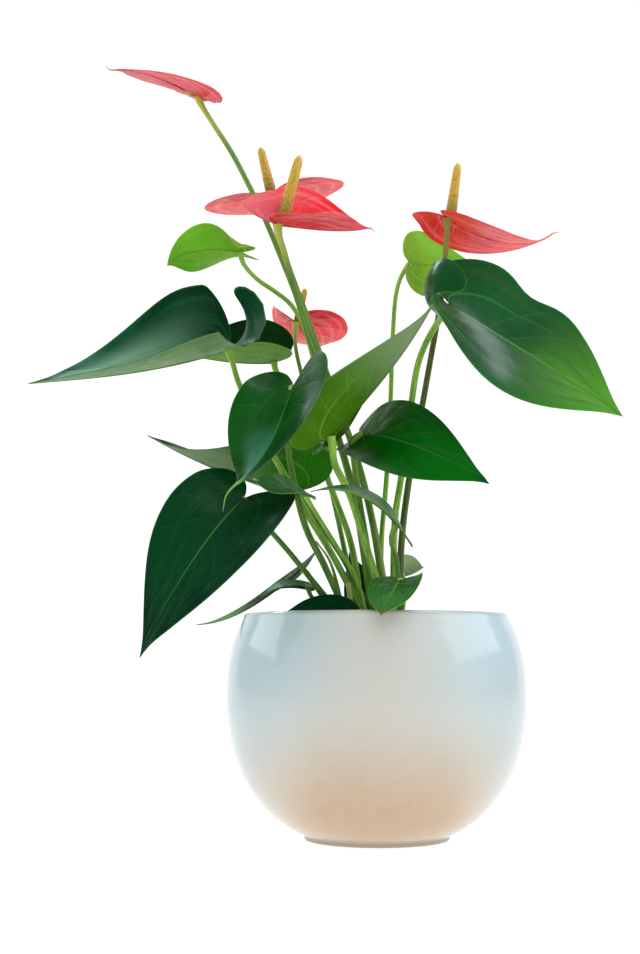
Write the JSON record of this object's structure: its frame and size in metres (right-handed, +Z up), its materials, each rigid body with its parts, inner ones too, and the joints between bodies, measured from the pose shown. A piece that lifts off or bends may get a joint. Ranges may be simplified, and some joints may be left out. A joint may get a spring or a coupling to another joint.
{
  "type": "potted anthurium",
  "caption": "Flowering house plant with long-stalked heart-shaped leaves and red spathes, in a round glazed pot that stands on its foot.",
  "frame": {"origin": "centre of the pot's foot, on the surface it stands on", "axes": "+Z up the plant; the front seen in the picture faces -Y, and +X is to its right"},
  "size_m": [0.396, 0.2482, 0.5299],
  "materials": {
    "glaze": "white glazed stoneware, glossy, with a cool and a warm tone",
    "potting_mix": "dark, damp, coarse potting mix with bark",
    "leaf": "dark green leaf with a waxy gloss, paler underneath",
    "young_leaf": "light green young leaf, thin and a little see-through",
    "leaf_stalk": "light green stalk, satin",
    "flower_stalk": "olive green stalk, satin",
    "shoot": "pale green rolled sheath, satin",
    "spathe": "coral red spathe with a waxy gloss and paler veins",
    "spadix": "golden yellow, matt, covered in tiny flowers"
  },
  "bodies": {
    "root": {"leaf_01_blade": "young_leaf", "leaf_01_stalk": "leaf_stalk", "leaf_02_blade": "young_leaf", "leaf_02_stalk": "leaf_stalk", "leaf_03_blade": "leaf", "leaf_03_stalk": "leaf_stalk", "leaf_04_blade": "leaf", "leaf_04_stalk": "leaf_stalk", "leaf_05_blade": "leaf", "leaf_05_stalk": "leaf_stalk", "leaf_06_blade": "leaf", "leaf_06_stalk": "leaf_stalk", "leaf_07_blade": "leaf", "leaf_07_stalk": "leaf_stalk", "leaf_08_blade": "leaf", "leaf_08_stalk": "leaf_stalk", "leaf_09_blade": "leaf", "leaf_09_stalk": "leaf_stalk", "leaf_10_blade": "leaf", "leaf_10_stalk": "leaf_stalk", "leaf_11_blade": "leaf", "leaf_11_stalk": "leaf_stalk", "leaf_12_blade": "leaf", "leaf_12_stalk": "leaf_stalk", "leaf_13_blade": "leaf", "leaf_13_stalk": "leaf_stalk", "leaf_14_blade": "leaf", "leaf_14_stalk": "leaf_stalk", "leaf_15_blade": "leaf", "leaf_15_stalk": "leaf_stalk", "leaf_16_blade": "leaf", "leaf_16_stalk": "leaf_stalk", "leaf_17_blade": "leaf", "leaf_17_stalk": "leaf_stalk", "leaf_18_blade": "leaf", "leaf_18_stalk": "leaf_stalk", "flower_1_spathe": "spathe", "flower_1_stalk": "flower_stalk", "flower_1_spadix": "spadix", "flower_2_spathe": "spathe", "flower_2_stalk": "flower_stalk", "flower_2_spadix": "spadix", "flower_3_spathe": "spathe", "flower_3_stalk": "flower_stalk", "flower_3_spadix": "spadix", "flower_4_spathe": "spathe", "flower_4_stalk": "flower_stalk", "flower_4_spadix": "spadix", "flower_5_spathe": "spathe", "flower_5_stalk": "flower_stalk", "flower_5_spadix": "spadix", "shoot_1": "shoot", "shoot_2": "shoot", "shoot_3": "shoot", "pot": "glaze", "potting_mix": "potting_mix"}
  },
  "joints": []
}
